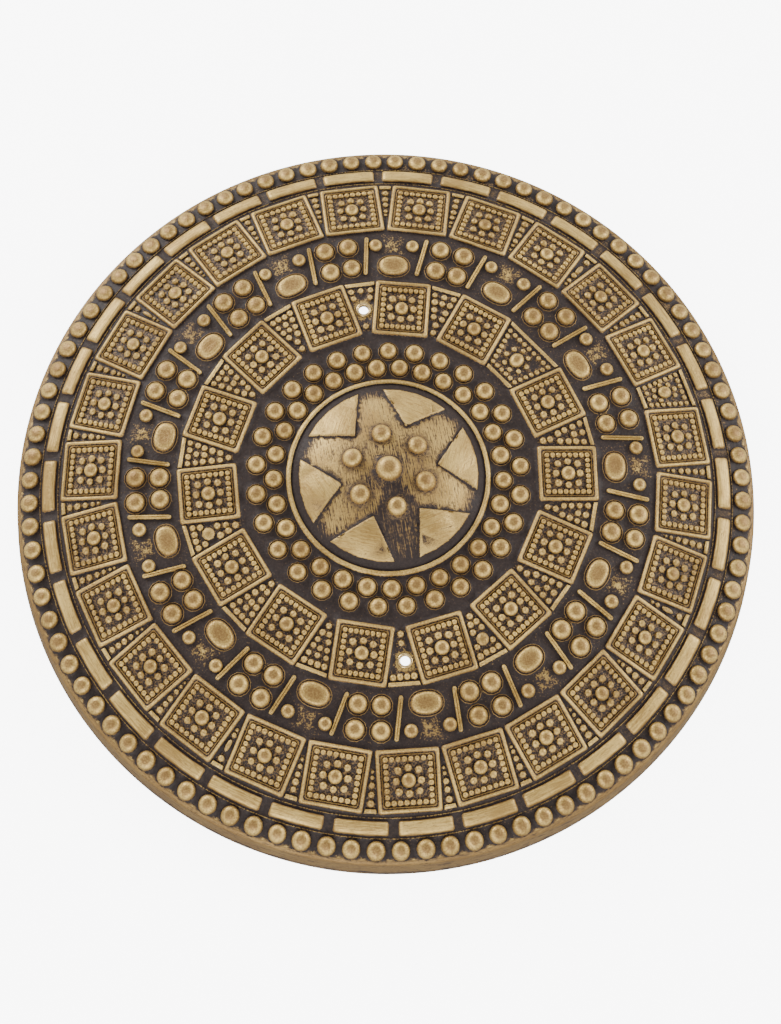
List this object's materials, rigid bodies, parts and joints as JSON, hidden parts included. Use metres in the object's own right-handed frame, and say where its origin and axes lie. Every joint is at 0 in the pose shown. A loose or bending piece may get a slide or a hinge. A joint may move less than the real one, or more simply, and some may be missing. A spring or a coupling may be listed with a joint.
{
  "type": "costume buckler shield",
  "caption": "Round costume buckler of thin moulded plastic with gold-over-black bead, tile and bar relief around a star boss, and brass eyelets for a hand strap.",
  "frame": {"origin": "centre of the plane of the rim's lower edge, where the shield lies on its rim, face up", "axes": "+Z is the shield's axis and points out of its face, +Y points to the top of the pattern, +X to the right seen from the front"},
  "size_m": [0.33, 0.33, 0.0526],
  "materials": {
    "gold_paint": "thin plastic sheet, antique gold paint brushed over black, black left in the recesses",
    "brass": "plain rolled brass, slightly dull"
  },
  "bodies": {
    "root": {"shield_shell": "gold_paint", "eyelet_top": "brass", "eyelet_bottom": "brass"}
  },
  "joints": []
}
